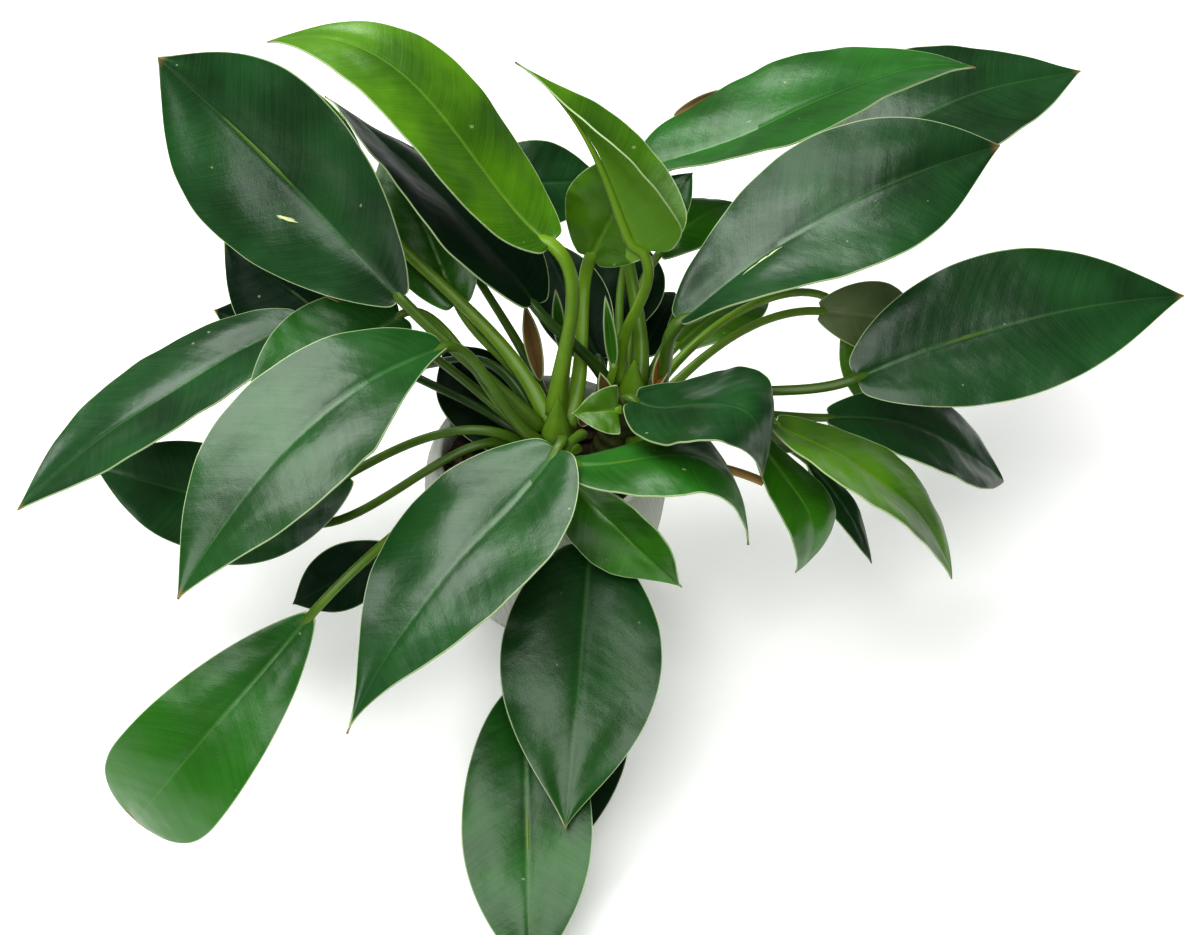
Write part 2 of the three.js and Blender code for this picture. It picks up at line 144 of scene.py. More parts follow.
def mottled_material(name, dark, light, size, detail, rough, relief, depth):
    """Two colours in soft patches of one size, which stand up a little as they get lighter."""
    material, tree, shader = new_material(name)
    place = add_node(tree, "ShaderNodeTexCoord").outputs["Object"]
    patches = add_node(tree, "ShaderNodeTexNoise", Vector=place, Scale=scale_for(size), Detail=detail)
    shade = add_node(tree, "ShaderNodeMix", COLOURS, _0=patches.outputs["Fac"],
                     _6=colour(dark), _7=colour(light))
    tree.links.new(shade.outputs[2], shader.inputs["Base Color"])
    shader.inputs["Roughness"].default_value = rough
    bump = add_node(tree, "ShaderNodeBump", Strength=relief, Distance=depth * MM,
                    Height=patches.outputs["Fac"])
    tree.links.new(bump.outputs["Normal"], shader.inputs["Normal"])
    return material, shader


print("a mid grey is", [round(c, 3) for c in colour("808080")[:3]])

# %% [markdown]
# ## Leaf blades: what the surface shows
#
# A blade of this plant is thick and leathery with a waxy skin. It shows a pale midrib, many fine side
# veins that run out to the edge and bend forward there, and a thin pale margin. An image could carry
# all that, but here each blade keeps a few numbers at each of its points, and the nodes draw with them:
# how far along it is, how far it is from the midrib and from the margin, which side vein it is near,
# and how fresh its green is there. So the veins follow the form of every leaf at their real spacing.

# %% Leaf colours
LEAF_LOOKS = {
    # deep green, light green, midrib, underside, roughness, shine
    # shaded is painted shade: near-black greens with little shine for leaves deep in the plant's own
    # shade
    "shaded": ("06180b", "0c2412", "284626", "12251a", 0.42, 0.10),
    "old": ("092a0f", "19461e", "4b7343", "2a4e26", 0.31, 0.45),
    "mature": ("0f3a0d", "205c1a", "588645", "335c22", 0.31, 0.45),
    "fresh": ("164408", "32740e", "6f9a3e", "356812", 0.30, 0.52),
    "young": ("285206", "4c7c0a", "7c9e38", "4a760e", 0.32, 0.5),
    "dull": ("3c4e2a", "66764c", "7c8860", "5b6a40", 0.40, 0.30),
    "rusty": ("5c3418", "8a5426", "9a7040", "6e4420", 0.55, 0.3),
    "pale": ("b9bd7c", "d0cf98", "d0cf98", "b9bd7c", 0.55, 0.3),
    "dry": ("40301a", "6c5632", "86704a", "544024", 0.75, 0.2),
}
FRESH_GREEN = "2f780c"
MARGIN_COLOUR = "a9bd8c"
SPECK_COLOUR = "a9b48c"
DRY_TIP = "7a6236"
print("leaf looks:", len(LEAF_LOOKS))

# %% [markdown]
# ## One material for all blades
#
# The colour is laid down in the order in which it shows: soft patches of two greens, a fresher green
# where a leaf is younger, streaks along the side veins, the midrib, the margin, a few pale specks and a
# dry tip. The wax on top is smooth but not even, so the gloss varies a little. A low relief of fine
# grain, crinkles and veins breaks the light up. Real veins and grain are finer than a render of the
# whole plant can show, so both are drawn slightly coarse.

# %% Blade material
VEIN_SPACING = 5.2
STREAK_WIDTH = 0.9
STREAK_LENGTH = 45
MARGIN_WIDTH = 0.8
PATCH_SIZE = 50
SPECK_SIZE = 4.35
WAX_SIZE = 7.7
CRINKLE_SIZE = 13
GRAIN_SIZE = 0.91
RELIEF_DEPTH = 0.12
WAX_IOR = 1.45


def blade_material(name, deep, light, midrib, rough, shine, relief):
    """Living leaf: two greens in soft patches, streaked along the side veins, a midrib, a margin."""
    material, tree, shader = new_material(name)
    blade = add_node(tree, "ShaderNodeAttribute", {"attribute_name": "blade"})
    split = add_node(tree, "ShaderNodeSeparateXYZ", Vector=blade.outputs["Vector"])
    along, across, from_margin = split.outputs
    veins = add_node(tree, "ShaderNodeAttribute", {"attribute_name": "vein"}).outputs["Fac"]
    fresh = add_node(tree, "ShaderNodeAttribute", {"attribute_name": "fresh"}).outputs["Fac"]
    place = add_node(tree, "ShaderNodeTexCoord").outputs["Object"]

    # Soft patches of two greens
    patches = add_node(tree, "ShaderNodeTexNoise", Vector=place, Scale=scale_for(PATCH_SIZE), Detail=3.0)
    clouds = add_node(tree, "ShaderNodeMapRange", Value=patches.outputs["Fac"], From_Min=0.32,
                      From_Max=0.68)
    greens = add_node(tree, "ShaderNodeMix", COLOURS, _0=clouds.outputs[0],
                      _6=colour(deep), _7=colour(light))

    # Streaks along the side veins, and a fine line on every vein
    number = add_node(tree, "ShaderNodeMath", {"operation": "DIVIDE"}, _0=veins, _1=STREAK_WIDTH)
    outward = add_node(tree, "ShaderNodeMath", {"operation": "DIVIDE"}, _0=across, _1=STREAK_LENGTH)
    lane = add_node(tree, "ShaderNodeCombineXYZ", _0=number.outputs[0], _1=outward.outputs[0])
    streaks = add_node(tree, "ShaderNodeTexNoise", Vector=lane.outputs[0], Scale=1.0, Detail=2.0)
    streak = add_node(tree, "ShaderNodeMapRange", Value=streaks.outputs["Fac"], From_Min=0.3,
                      From_Max=0.7)
    turn = add_node(tree, "ShaderNodeMath", {"operation": "DIVIDE"}, _0=veins, _1=VEIN_SPACING)
    swing = add_node(tree, "ShaderNodeMath", {"operation": "PINGPONG"}, _0=turn.outputs[0], _1=0.5)
    line = add_node(tree, "ShaderNodeMapRange", SMOOTH, Value=swing.outputs[0],
                    From_Min=0.0, From_Max=0.2, To_Min=0.5, To_Max=0.0)
    both = add_node(tree, "ShaderNodeMath", {"operation": "MULTIPLY_ADD"}, _0=line.outputs[0],
                    _1=0.35, _2=streak.outputs[0])
    shade = add_node(tree, "ShaderNodeMapRange", Value=both.outputs[0], To_Min=0.0, To_Max=0.13)

    # The midrib, wide and clear at the base and faint at the tip
    taper = add_node(tree, "ShaderNodeMapRange", Value=along, To_Min=2.4, To_Max=0.5)
    apart = add_node(tree, "ShaderNodeMath", {"operation": "ABSOLUTE"}, _0=across)
    ratio = add_node(tree, "ShaderNodeMath", {"operation": "DIVIDE"}, _0=apart.outputs[0],
                     _1=taper.outputs[0])
    band = add_node(tree, "ShaderNodeMapRange", SMOOTH, Value=ratio.outputs[0],
                    From_Min=0.2, From_Max=1.0, To_Min=0.45, To_Max=0.0)
    fade = add_node(tree, "ShaderNodeMapRange", Value=along, To_Min=1.0, To_Max=0.35)
    strength = add_node(tree, "ShaderNodeMath", {"operation": "MULTIPLY"}, _0=band.outputs[0],
                        _1=fade.outputs[0])

    # The margin, the specks and the dry tip
    rim = add_node(tree, "ShaderNodeMapRange", SMOOTH, Value=from_margin,
                   From_Min=0.1, From_Max=MARGIN_WIDTH, To_Min=0.75, To_Max=0.0)
    specks = add_node(tree, "ShaderNodeTexNoise", Vector=place, Scale=scale_for(SPECK_SIZE), Detail=0.0)
    dots = add_node(tree, "ShaderNodeMapRange", Value=specks.outputs["Fac"], From_Min=0.875,
                    From_Max=0.895, To_Min=0.0, To_Max=0.4)
    far_end = add_node(tree, "ShaderNodeMapRange", SMOOTH, Value=along,
                       From_Min=0.965, From_Max=1.0, To_Min=0.0, To_Max=0.8)

    look = greens
    for amount, hex_text in ((fresh, FRESH_GREEN), (shade.outputs[0], midrib),
                             (strength.outputs[0], midrib), (rim.outputs[0], MARGIN_COLOUR),
                             (dots.outputs[0], SPECK_COLOUR), (far_end.outputs[0], DRY_TIP)):
        look = add_node(tree, "ShaderNodeMix", COLOURS, _0=amount, _6=look.outputs[2],
                        _7=colour(hex_text))
    tree.links.new(look.outputs[2], shader.inputs["Base Color"])

    # Wax that varies a little in gloss
    wax = add_node(tree, "ShaderNodeTexNoise", Vector=place, Scale=scale_for(WAX_SIZE), Detail=4.0)
    gloss = add_node(tree, "ShaderNodeMapRange", Value=wax.outputs["Fac"], To_Min=rough - 0.05,
                     To_Max=rough + 0.07)
    tree.links.new(gloss.outputs[0], shader.inputs["Roughness"])
    shader.inputs["IOR"].default_value = WAX_IOR
    shader.inputs["Specular IOR Level"].default_value = shine

    # A low relief of grain, crinkles and veins
    grain = add_node(tree, "ShaderNodeTexNoise", Vector=place, Scale=scale_for(GRAIN_SIZE), Detail=2.0)
    hints = add_node(tree, "ShaderNodeMath", {"operation": "MULTIPLY"}, _0=both.outputs[0], _1=0.22)
    crinkle = add_node(tree, "ShaderNodeTexNoise", Vector=place, Scale=scale_for(CRINKLE_SIZE),
                       Detail=3.0)
    waves = add_node(tree, "ShaderNodeMath", {"operation": "MULTIPLY_ADD"},
                     _0=crinkle.outputs["Fac"], _1=8.0, _2=hints.outputs[0])
    heights = add_node(tree, "ShaderNodeMath", {"operation": "MULTIPLY_ADD"}, _0=grain.outputs["Fac"],
                       _1=1.1, _2=waves.outputs[0])
    bump = add_node(tree, "ShaderNodeBump", Strength=relief, Distance=RELIEF_DEPTH * MM,
                    Height=heights.outputs[0])
    tree.links.new(bump.outputs["Normal"], shader.inputs["Normal"])
    return material


print("blade veins every", VEIN_SPACING, "mm")

# %% [markdown]
# ## Petioles, and the whole set of finishes
#
# A petiole, the stalk of a leaf, has the same living skin as the blade, but it is juicier, smoother and
# more yellow, with soft patches as wide as the stalk itself. Each age of leaf gets a finish for its
# top, one for its duller underside and one for its petiole.

# %% Petiole material and all leaf finishes
STALK_PATCH = 17
STALK_SHINE = 0.35
TOP_RELIEF = 0.55
UNDERSIDE_ROUGHNESS = 0.52
UNDERSIDE_RELIEF = 0.6


def stalk_material(name, low, high):
    """Petiole skin: smooth and juicy, in soft patches of two greens."""
    material, shader = mottled_material(name, low, high, size=STALK_PATCH, detail=4.0,
                                        rough=0.38, relief=0.15, depth=0.3)
    shader.inputs["Specular IOR Level"].default_value = STALK_SHINE
    return material


TOPS = {}
UNDERSIDES = {}
for hue, (deep, light, midrib, under, rough, shine) in LEAF_LOOKS.items():
    TOPS[hue] = blade_material(f"waxy_leaf_{hue}", deep, light, midrib, rough, shine, TOP_RELIEF)
    UNDERSIDES[hue] = blade_material(f"leaf_underside_{hue}", under, light, midrib,
                                     UNDERSIDE_ROUGHNESS, shine, UNDERSIDE_RELIEF)
STALK_GREENS = {
    # shaded is painted shade on the stalks of the leaves deep in the plant's own shade
    "shaded": ("1e3612", "36541e"),
    "old": ("2e4a0e", "52701e"),
    "mature": ("36560e", "5e7e20"),
    "fresh": ("40640c", "6e9024"),
    "young": ("466c0a", "769826"),
    "dull": ("4a6a1c", "6d8a36"),
    "dry": ("94703a", "c09a5c"),
}
STALKS = {hue: stalk_material(f"petiole_{hue}", *greens) for hue, greens in STALK_GREENS.items()}
print("materials:", len(bpy.data.materials))

# %% [markdown]
# ## The leaves, one row each
#
# Each row says where a blade meets its stalk and where its tip is, both in millimetres from the middle
# of the pot's underside, and how the blade is shaped between them. turn and seat place the foot of the
# stalk round and up its stem. lean turns the blade about its own length, twist adds to that towards the
# tip, fold lifts both halves from the midrib, and arch and sway bow the midrib up and to the side. What
# a row leaves out has a usual value, which the next step gives. The name tells which stem bears a leaf.
# girths are the radii of the stalk at its foot and at its blade. fresh says how fresh the green is at
# base and tip. shaded marks a leaf deep in the plant's own shade; its greens are painted shade, nearly
# black there.

# %% Leaf rows
STEMS = {
    "left": dict(foot=(8, 2, 108), crown=(8, -8, 150), radii=(13, 9)),
    "right": dict(foot=(36, 8, 108), crown=(52, 16, 158), radii=(12, 9)),
}

LEAVES = [
    dict(name="leaf_left_front_lowest", turn=251, seat=17, steep=1.5, leave=0.5, base=(-9, -142, 75),
         tip=(-4, -292, 12), width=72, arch=10, fullest=0.5, hue="mature"),
    dict(name="leaf_left_front_hidden", turn=275, seat=14, steep=1.6, leave=0.79, base=(27, -108, 78),
         tip=(12, -222, 22), width=56, arch=8, lean=-10, shaded=True, hue="mature"),
    dict(name="leaf_left_front_hanging", turn=291, seat=26, steep=1.6, leave=0.52, base=(27, -80, 124),
         tip=(14, -226, 60), width=90, arch=9, lean=-5, fold=8, fullest=0.42, point=1.15,
         fresh=(0.0, 0.22)),
    dict(name="leaf_left_low_front_corner", turn=221, seat=17, leave=0.28, base=(-125, -140, 135),
         tip=(-229, -190, 16), width=72, arch=26, peak=1.8, fullest=0.72, shoulder=0.8, point=0.4,
         fresh=(-0.1, 0.8), hue="mature"),
    dict(name="leaf_left_low_side_a", turn=182, seat=11, steep=1.8, leave=0.45, base=(-141, -34, 98),
         tip=(-277, 25, 85), width=64, arch=10),
    dict(name="leaf_left_low_side_b", turn=196, seat=21, steep=1.6, leave=0.55, base=(-116, -22, 125),
         tip=(-206, -51, 82), width=46, arch=10),
    dict(name="leaf_left_low_small", turn=210, seat=8, steep=1.8, leave=0.65, base=(-89, -64, 104),
         tip=(-147, -75, 72), width=38, arch=6, shaded=True),
    dict(name="leaf_left_back_dark_a", turn=163, seat=18, base=(-108, 70, 142), tip=(-201, 136, 174),
         width=78, arch=8, shaded=True),
    dict(name="leaf_left_back_dark_b", turn=135, seat=21, steep=2.2, leave=0.7, base=(-104, 83, 118),
         tip=(-210, 117, 133), width=60, arch=8, shaded=True),
    dict(name="leaf_left_far_side", turn=168, seat=26, base=(-148, 71, 165), tip=(-303, -50, 125),
         width=80, arch=10, lean=45, fold=12),
    dict(name="leaf_left_side_small", turn=186, seat=31, base=(-86, 58, 180), tip=(-175, -7, 158),
         width=70, arch=6, hue="mature"),
    dict(name="leaf_left_crown_shaded", turn=148, seat=5, base=(-17, 3, 119), tip=(-62, 84, 134),
         width=50, arch=6, lean=6, fold=16, fullest=0.48, lobe=2, shaded=True),
    dict(name="leaf_left_big_side", turn=206, seat=37, base=(-55, -4, 210), tip=(-189, -158, 170),
         width=92, arch=22, sway=7, lean=30, fold=14, tuck=0.75, girths=(5.0, 3.2), fresh=(0.12, 0.06)),
    dict(name="leaf_left_big_front", turn=256, seat=34, base=(9, -61, 185), tip=(-101, -204, 115),
         width=96, arch=14, peak=1.8, lean=33, fold=12, fullest=0.36, point=1.6, girths=(4.6, 3.0),
         fresh=(0.12, 0.0)),
    dict(name="leaf_left_front_centre", turn=340, seat=39, base=(19, -66, 180), tip=(116, -91, 140),
         width=70, arch=35, peak=1.5, lean=-62, fold=-4, fullest=0.38, point=1.2, fresh=(0.1, 0.4),
         hue="mature"),
    dict(name="leaf_left_front_under", turn=317, seat=31, base=(13, -64, 167), tip=(79, -102, 117),
         width=55, arch=12, lean=40, fold=20, tuck=0.45, curl=0, sway=-9, fullest=0.42, point=1.3,
         hue="fresh"),
    dict(name="leaf_left_underside", turn=112, seat=29, base=(-53, 74, 176), tip=(-97, 166, 231),
         width=62, arch=6, hue="fresh"),
    dict(name="leaf_left_back_behind", turn=118, seat=36, base=(-108, 99, 233), tip=(-161, 142, 298),
         width=40, arch=6, girths=(5.5, 3.6), hue="fresh"),
    dict(name="leaf_left_back_top", turn=100, seat=22, base=(-47, 153, 200), tip=(37, 177, 188),
         width=55, arch=8),
    dict(name="leaf_left_upper_big", turn=158, seat=39, base=(-82, 33, 215), tip=(-220, 127, 315),
         width=106, arch=8, sway=5, lean=-20, fold=14, fullest=0.55, shoulder=0.75, point=0.95,
         girths=(5.5, 3.4)),
    dict(name="leaf_left_back_young", turn=60, seat=36, steep=0.8, base=(28, 71, 215), tip=(61, 73, 290),
         width=60, arch=4, girths=(6.0, 4.0), hue="young"),
    dict(name="leaf_left_top_bright", turn=90, seat=41, steep=2.5, base=(5, 33, 255),
         tip=(-155, 120, 330), width=76, arch=38, peak=1.8, lean=43, fold=11, shoulder=0.5,
         girths=(7.5, 4.2), hue="young"),
    dict(name="leaf_right_low_dark", turn=356, seat=20, steep=1.4, base=(170, 16, 136), tip=(278, 8, 90),
         width=70, arch=15, lean=-50, fullest=0.62, point=0.8),
    dict(name="leaf_right_low_pair_small", turn=324, seat=16, steep=2, leave=0.5, base=(160, 7, 106),
         tip=(197, -32, 60), width=20, arch=6, lean=-40),
    dict(name="leaf_right_fading", turn=37, seat=19, steep=1.8, leave=0.5, base=(190, 108, 128),
         tip=(207, 76, 80), width=26, arch=4, hue="young"),
    dict(name="leaf_right_dull", turn=18, seat=26, steep=1.3, base=(170, 94, 152), tip=(236, 112, 126),
         width=44, arch=10, hue="dull"),
    dict(name="leaf_right_back_far", turn=50, seat=31, steep=1.3, base=(163, 184, 180),
         tip=(345, 259, 215), width=106, arch=18, lean=-36, fold=12),
    dict(name="leaf_right_arching", turn=300, seat=23, base=(126, -25, 156), tip=(146, -72, 96),
         width=46, arch=22, peak=1.8, lean=-45, fullest=0.58, hue="fresh"),
    dict(name="leaf_right_bright_side", turn=334, seat=29, steep=1.3, base=(134, -20, 165),
         tip=(234, -85, 105), width=76, arch=18, peak=1.5, lean=-62, hue="young"),
    dict(name="leaf_right_side_big", turn=0, seat=33, base=(181, 3, 180), tip=(377, 58, 195), width=88,
         arch=8, sway=-7, lean=-12, fold=8, girths=(4.6, 3.0)),
    dict(name="leaf_right_under_bright", turn=63, seat=17, base=(80, 67, 148), tip=(139, 128, 138),
         width=50, arch=8, lean=-40, hue="young"),
    dict(name="leaf_right_back_a", turn=117, seat=14, steep=0.6, leave=0.2, base=(39, 70, 156),
         tip=(57, 135, 176), width=50, arch=8, shaded=True),
    dict(name="leaf_right_back_b", turn=86, seat=14, base=(60, 72, 140), tip=(80, 126, 140), width=36,
         arch=6, shaded=True),
    dict(name="leaf_right_back_light", turn=82, seat=27, base=(70, 105, 190), tip=(117, 150, 192),
         width=40, arch=8, lean=-30, hue="fresh"),
    dict(name="leaf_right_crown_heart", turn=285, seat=40, base=(53, -27, 190), tip=(123, -66, 168),
         width=88, arch=34, peak=2.2, lean=-50, fold=6, fullest=0.5, girths=(4.6, 2.8)),
    dict(name="leaf_right_shaded_centre", turn=124, seat=26, base=(32, 54, 150), tip=(-4, 118, 192),
         width=46, arch=4, shaded=True),
    dict(name="leaf_right_back_small", turn=98, seat=37, base=(57, 103, 205), tip=(88, 118, 240),
         width=30, arch=4, hue="mature"),
    dict(name="leaf_right_back_long", turn=70, seat=44, base=(63, 132, 235), tip=(259, 175, 275),
         width=100, arch=12, peak=3, lean=-55, fold=18, shoulder=0.4, girths=(6.0, 3.8), hue="mature"),
    dict(name="leaf_right_upper_big", turn=20, seat=42, base=(79, 13, 215), tip=(263, 97, 275), width=92,
         arch=14, lean=-58, twist=68, fold=18, fullest=0.52, point=0.95, girths=(6.5, 4.2)),
    dict(name="leaf_right_behind_dark", turn=138, seat=42, steep=1.5, base=(-5, 27, 215),
         tip=(-132, 160, 265), width=88, arch=9, lean=50, twist=30, girths=(5.0, 3.2),
         shaded=True),
    dict(name="leaf_right_folded_young", turn=116, seat=47, base=(57, 32, 250), tip=(-13, 71, 350),
         width=64, arch=12, peak=1.5, lean=64, fold=85, unfold=1, fullest=0.14, point=1.6, lobe=10,
         curl=0, girths=(5.5, 3.6), hue="young"),
    dict(name="bract_right_crown", turn=222, seat=43, base=(43, -6, 163), tip=(16, -7, 161), width=30,
         arch=3, fold=20, fullest=0.05, point=1.5, lobe=0, curl=0, drip=0, hue="young"),
    dict(name="sheath_right_bright", turn=180, seat=46, base=(41, 22, 172), tip=(36, 38, 212), width=9,
         fold=45, fullest=0.3, lobe=1, curl=0, wave=0, hue="fresh"),
    dict(name="old_stalk_right", turn=288, seat=13, steep=1.5, base=(128, -31, 129), tip=(140, -34, 124),
         hue="dry"),
]
print("leaves:", len(LEAVES))

# %% [markdown]
# ## The form of one leaf
#
# A blade is a flat sheet bent in three ways: its midrib bows, its two halves lift or hang, and its edge
# waves. So the form is one function of two numbers, the share along the midrib and the share across
# from one edge to the other. numpy works it out for all points of a blade at once, which is much
# quicker than point by point.

# %% Leaf form
# Midrib: arch bows it up, peak says where most (1 is the middle, more is nearer the tip), sway to the
# side. Blade: lean, twist, fold, unfold (the share of the fold lost by the tip), curl and wave of the
# edge. Outline: fullest (place of the widest point), shoulder and point (how blunt base and tip are),
# tuck (how much narrower the left half starts), lobe (how far it reaches back), drip (how drawn out the
# tip is). Petiole: steep (how upright it starts), leave (how long it keeps to that).
DEFAULTS = dict(arch=0, sway=0, peak=1, lean=0, twist=0, fold=10, unfold=0.5, fullest=0.44,
                shoulder=0.6, point=1, tuck=0, lobe=6, curl=3, wave=1.2, drip=0.3, steep=1,
                leave=0.35, hue="old", shaded=False, fresh=(0, 0), girths=(3.6, 2.6))
LEAVES = [{**DEFAULTS, "stem": "right" if "_right" in row["name"] else "left", **row} for row in LEAVES]

OUTLOOK = np.array([0.0, -1.0, 1.0]) / math.sqrt(2)
TUCK_END = 0.42
LOBE_START = 0.03
EDGE_WAVES = 1.6
RIGHT_WAVE_START = 0.1
LEFT_WAVE_START = 0.45
NARROWEST_HALF = 0.15
MIDRIB_STEP = 0.001
ARRIVE_SHARE = 0.3
FOOT_DEPTH = 1.5
PETIOLE_FOOT_RADIUS = 3.6
FIT_GAP = 0.3


def unit(v):
    """Vectors brought to length one."""
    return v / np.linalg.norm(v, axis=-1, keepdims=True)


def turned(v, axis, degrees):
    """Vectors turned about unit axes."""
    angle = np.radians(degrees)
    c, s = np.cos(angle)[..., None], np.sin(angle)[..., None]
    return v * c + np.cross(axis, v) * s + axis * np.sum(axis * v, -1, keepdims=True) * (1 - c)


class LeafForm:
    """One leaf's midrib, its frame along the midrib, and the middle surface of its blade."""

    def __init__(self, row):
        self.row = {**DEFAULTS, **row}
        self.base = np.array(row["base"], float)
        tip = np.array(row["tip"], float)
        self.length = np.linalg.norm(tip - self.base)
        self.chord = unit(tip - self.base)
        face = unit(OUTLOOK - self.chord * (OUTLOOK @ self.chord))
        self.face = turned(face, self.chord, np.array(float(self.row["lean"])))
        self.right = np.cross(self.chord, self.face)

    def midrib(self, u):
        """Points of the midrib at shares of its length."""
        peak = self.row["peak"]
        scale = (peak + 1) ** (peak + 1) / peak ** peak
        bow = scale * np.sign(u) * np.abs(u) ** peak * (1 - u)
        sway = 4 * u * (1 - u)
        return (self.base + self.chord * (self.length * u)[..., None]
                + self.face * (self.row["arch"] * bow)[..., None]
                + self.right * (self.row["sway"] * sway)[..., None])

    def axes(self, u):
        """Directions along the blade, out of its face and to its side."""
        along = unit(self.midrib(u + MIDRIB_STEP) - self.midrib(u - MIDRIB_STEP))
        up = unit(self.face - along * np.sum(self.face * along, -1, keepdims=True))
        up = turned(up, along, self.row["twist"] * u)
        return along, up, np.cross(along, up)

    def half_width(self, u):
        """Half the width of the blade at shares of its length."""
        r = self.row
        to_base = 1 - np.minimum(u / r["fullest"], 1)
        to_tip = np.maximum((u - r["fullest"]) / (1 - r["fullest"]), 0)
        shape = (1 - to_base ** 2) ** r["shoulder"] * np.maximum(1 - to_tip ** 2, 0) ** r["point"]
        drawn_out = 1 - r["drip"] * to_tip ** 5
        return np.maximum(r["width"] / 2 * shape * drawn_out, NARROWEST_HALF)

    def surface(self, u, s, uneven):
        """Points at shares u along and s across, how far out each lies, and how far from the margin."""
        r = self.row
        along, up, side = self.axes(u)
        full = self.half_width(u)
        tuck = np.where(s < 0, 1 - r["tuck"] * np.maximum(1 - u / TUCK_END, 0), 1)
        half = full * tuck
        reach = half * s
        slope = np.radians(r["fold"] * (1 - r["unfold"] * u))
        share = half / (r["width"] / 2)
        drop = r["curl"] * s * s * share
        turns = EDGE_WAVES * u + np.where(s > 0, RIGHT_WAVE_START, LEFT_WAVE_START)
        ripple = r["wave"] * s * s * np.sin(2 * np.pi * turns) * share
        shift = 1 - (1 - np.minimum(u / LOBE_START, 1)) ** 2
        back = r["lobe"] * np.abs(s) ** 1.4 * (1 - u) ** 8 * shift
        rise = np.abs(reach) * np.sin(slope) - drop + ripple + uneven(u, s, share)
        point = (self.midrib(u) + side * (reach * np.cos(slope))[..., None]
                 + up * rise[..., None] - along * back[..., None])
        return point, reach, half - np.abs(reach)


def stalk_path(row, form, count):
    """Points from the foot of the petiole at its stem to the base of the blade."""
    r = form.row
    stem = STEMS[row["stem"]]
    foot, crown = np.array(stem["foot"], float), np.array(stem["crown"], float)
    out = np.array([math.cos(math.radians(row["turn"])), math.sin(math.radians(row["turn"])), 0])
    leave = unit(out + np.array([0, 0, r["steep"]]))
    rise = PETIOLE_FOOT_RADIUS * float(leave @ out)
    share = (row["seat"] + rise) / (crown[2] - foot[2])
    bark = stem["radii"][0] + (stem["radii"][1] - stem["radii"][0]) * share
    start = foot + (crown - foot) * share - np.array([0, 0, rise])
    start = start + out * (bark + PETIOLE_FOOT_RADIUS * leave[2] + FIT_GAP)
    span = np.linalg.norm(start - form.base)
    arrive = form.axes(np.array([0.0]))[0][0]
    b, c = start + leave * span * r["leave"], form.base - arrive * span * ARRIVE_SHARE
    t = np.linspace(0, 1, count)[:, None]
    points = (start * (1 - t) ** 3 + b * 3 * t * (1 - t) ** 2
              + c * 3 * t * t * (1 - t) + form.base * t ** 3)
    inward = start - out * (PETIOLE_FOOT_RADIUS + FOOT_DEPTH)
    return np.vstack([inward[None], points])


print("form ready, first blade", round(LeafForm(LEAVES[0]).length), "mm from base to tip")

# %% [markdown]
# ## An uneven surface
#
# No real blade is smooth. It bulges a little between its side veins, sinks along its midrib, and has
# slow dents and a lively edge of its own. These are small waves added to the form. Each leaf draws
# their places from its own seed, so that no two leaves are alike and every run gives the same plant.

# %% Swells of the blade
PILLOW_SPACING = 10.4
PILLOW_HEIGHT = 0.06
VEIN_LEAN = 0.42
VEIN_BEND = 0.006
GROOVE_DEPTH = 0.7
GROOVE_WIDTH = 1.6


def vein_number(u, reach, length):
    """Millimetres along the midrib at which the side vein through a point starts."""
    out = np.abs(reach)
    return u * length - VEIN_LEAN * out - VEIN_BEND * out * out


def uneven_surface(form, seed):
    """Small swells of one leaf: pillows between its side veins and slow dents of its own."""
    draw = random.Random(seed)
    phases = [draw.uniform(0, 2 * math.pi) for _ in range(6)]
    depth = form.row["width"] / 90

    def uneven(u, s, share):
        reach = share * form.row["width"] / 2 * s
        number = vein_number(u, reach, form.length)
        pillow = PILLOW_HEIGHT * np.cos(2 * np.pi * number / PILLOW_SPACING) * (1 - s ** 4)
        slow = (1.9 * np.sin(6 * u + 2.2 * s + phases[0]) * np.sin(2.6 * s + phases[1])
                + 0.7 * np.sin(15 * u - 3.0 * s + phases[2]) * np.sin(5 * s + phases[3]))
        edge = np.abs(s) ** 3 * (np.sin(31 * u + phases[4]) + 0.6 * np.sin(53 * u + phases[5]))
        groove = -GROOVE_DEPTH * np.exp(-(reach / GROOVE_WIDTH) ** 2) * (1 - u) ** 0.5
        return (pillow + 0.9 * depth * slow + 0.35 * depth * edge) * np.sqrt(share) + groove
    return uneven


print("pillows every", PILLOW_SPACING, "mm")

# %% [markdown]
# ## The blade
#
# The blade starts as a flat grid. Every vertex of the grid is moved to its place on the form, and the
# sheet is then given its thickness. That is quicker and more even than cutting an outline out of a
# plane. The grid is closer near the base and the edges, where the outline turns most. Each vertex also
# stores the numbers that the leaf materials draw with.

# %% Blade mesh
BLADE_THICKNESS = 0.9
LARGE_GRID = (96, 34)
SMALL_GRID = (52, 22)
LARGE_WIDTH = 50
CLOSER_AT_BASE = 1.2
CLOSER_AT_EDGE = 1.25
BLADE_MERGE = 0.05


def new_leaf_mesh():
    """An empty mesh whose vertices carry the numbers that the leaf materials read."""
    bm = bmesh.new()
    bm.verts.layers.float_vector.new("blade")
    bm.verts.layers.float.new("vein")
    bm.verts.layers.float.new("fresh")
    return bm


def move_to(verts, points):
    """Vertices moved to points given in millimetres."""
    for vert, point in zip(verts, points):
        vert.co = point * MM


